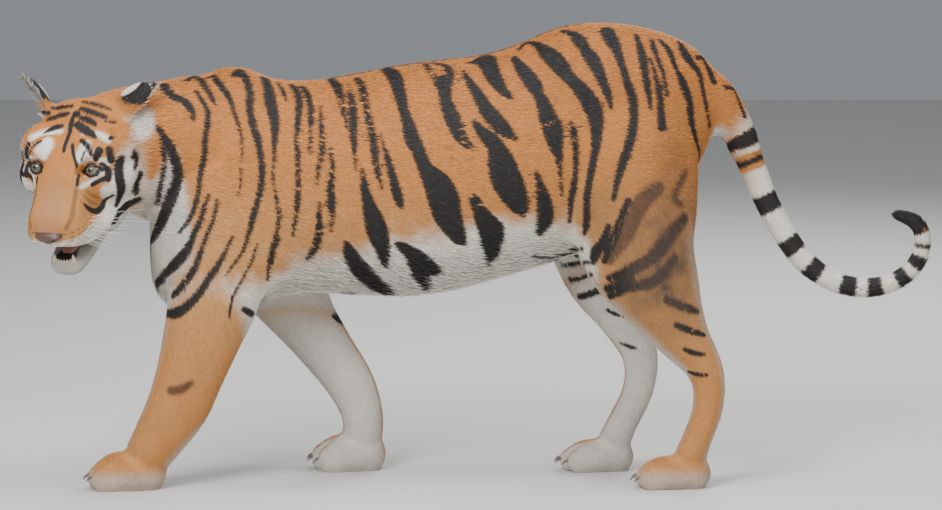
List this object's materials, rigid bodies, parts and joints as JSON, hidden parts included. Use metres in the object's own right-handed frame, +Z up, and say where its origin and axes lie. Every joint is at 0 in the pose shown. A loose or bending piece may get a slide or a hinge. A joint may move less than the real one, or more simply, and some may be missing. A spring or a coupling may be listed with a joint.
{
  "type": "tiger",
  "caption": "Life-size standing tiger in mid step, head turned to its left and lowered with the mouth a little open, tail hanging and curled up at the tip, as a still display model.",
  "frame": {"origin": "on the floor, under the middle of the model's bounding box", "axes": "+Z up; +X along the body towards the tail, so the tiger walks towards -X; its left side faces -Y"},
  "size_m": [1.9914, 0.5475, 1.0113],
  "materials": {
    "coat_orange": "short dense fur",
    "coat_white": "soft pale fur",
    "coat_dark": "short dark fur",
    "nose_pink": "moist leather",
    "eye_glass": "glossy",
    "tongue_pink": "moist"
  },
  "bodies": {
    "root": {"head": "coat_orange", "lower_jaw": "coat_white", "left_ear": "coat_dark", "right_ear": "coat_dark", "left_eye": "eye_glass", "right_eye": "eye_glass", "nose": "nose_pink", "tongue": "tongue_pink", "neck": "coat_orange", "chest": "coat_orange", "belly": "coat_orange", "hindquarters": "coat_orange", "left_foreleg": "coat_orange", "right_foreleg": "coat_white", "left_fore_paw": "coat_orange", "right_fore_paw": "coat_orange", "left_thigh": "coat_orange", "right_thigh": "coat_orange", "left_shank": "coat_orange", "right_shank": "coat_white", "left_hind_foot": "coat_orange", "right_hind_foot": "coat_orange", "tail_root": "coat_orange", "tail_upper": "coat_orange", "tail_bend": "coat_orange", "tail_end": "coat_dark"}
  },
  "joints": []
}
